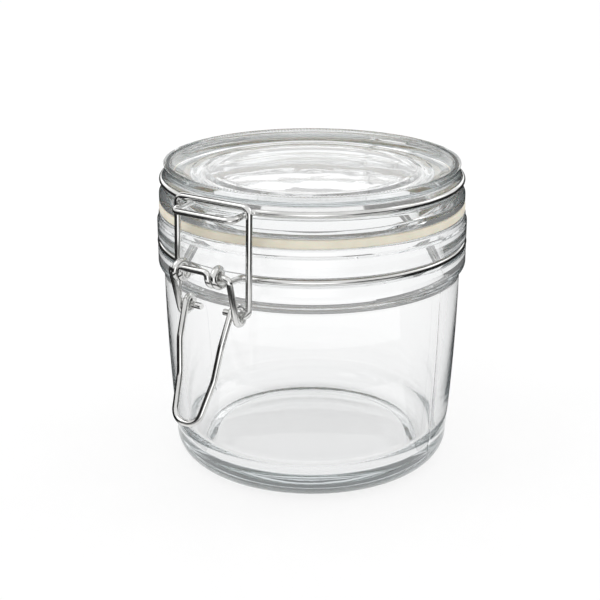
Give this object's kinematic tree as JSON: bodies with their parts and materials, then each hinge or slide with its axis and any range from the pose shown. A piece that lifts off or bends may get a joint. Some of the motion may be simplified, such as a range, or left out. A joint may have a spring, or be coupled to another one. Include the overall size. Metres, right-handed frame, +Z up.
{
  "type": "clip-top glass canister",
  "caption": "Round clear glass canister with a hinged glass lid, a rubber seal and a wire clamp that locks the lid.",
  "frame": {"origin": "jar axis, on the surface that the jar stands on", "axes": "+Z up along the jar axis, -Y towards the clamp, +Y towards the lid hinge"},
  "size_m": [0.098, 0.1234, 0.097],
  "materials": {
    "clear_glass": "clear pressed glass",
    "lid_glass": "clear pressed glass with a stippled rim",
    "cream_rubber": "matt moulded rubber",
    "steel_wire": "bright drawn wire"
  },
  "bodies": {
    "jar": {"glass_jar": "clear_glass", "neck_wire": "steel_wire"},
    "lid": {"glass_lid": "lid_glass", "rubber_seal": "cream_rubber", "lid_wire": "steel_wire"},
    "lever": {"lever_handle": "steel_wire"},
    "bail": {"closing_bail": "steel_wire"}
  },
  "joints": [
    {"name": "lid_open", "type": "hinge", "parent": "jar", "child": "lid", "pos_m": [0, 0.0535, 0.072], "axis": [-1, 0, 0], "range_deg": [0, 115]},
    {"name": "lever_swing", "type": "hinge", "parent": "jar", "child": "lever", "pos_m": [0, -0.0571, 0.0746], "axis": [-1, 0, 0], "range_deg": [0, 105]},
    {"name": "bail_swing", "type": "hinge", "parent": "lever", "child": "bail", "pos_m": [0, -0.0513, 0.062], "axis": [1, 0, 0], "range_deg": [0, 150]}
  ],
  "couplings": [
    {"joint": "bail_swing", "follows": "lever_swing", "ratio": 1.4}
  ]
}
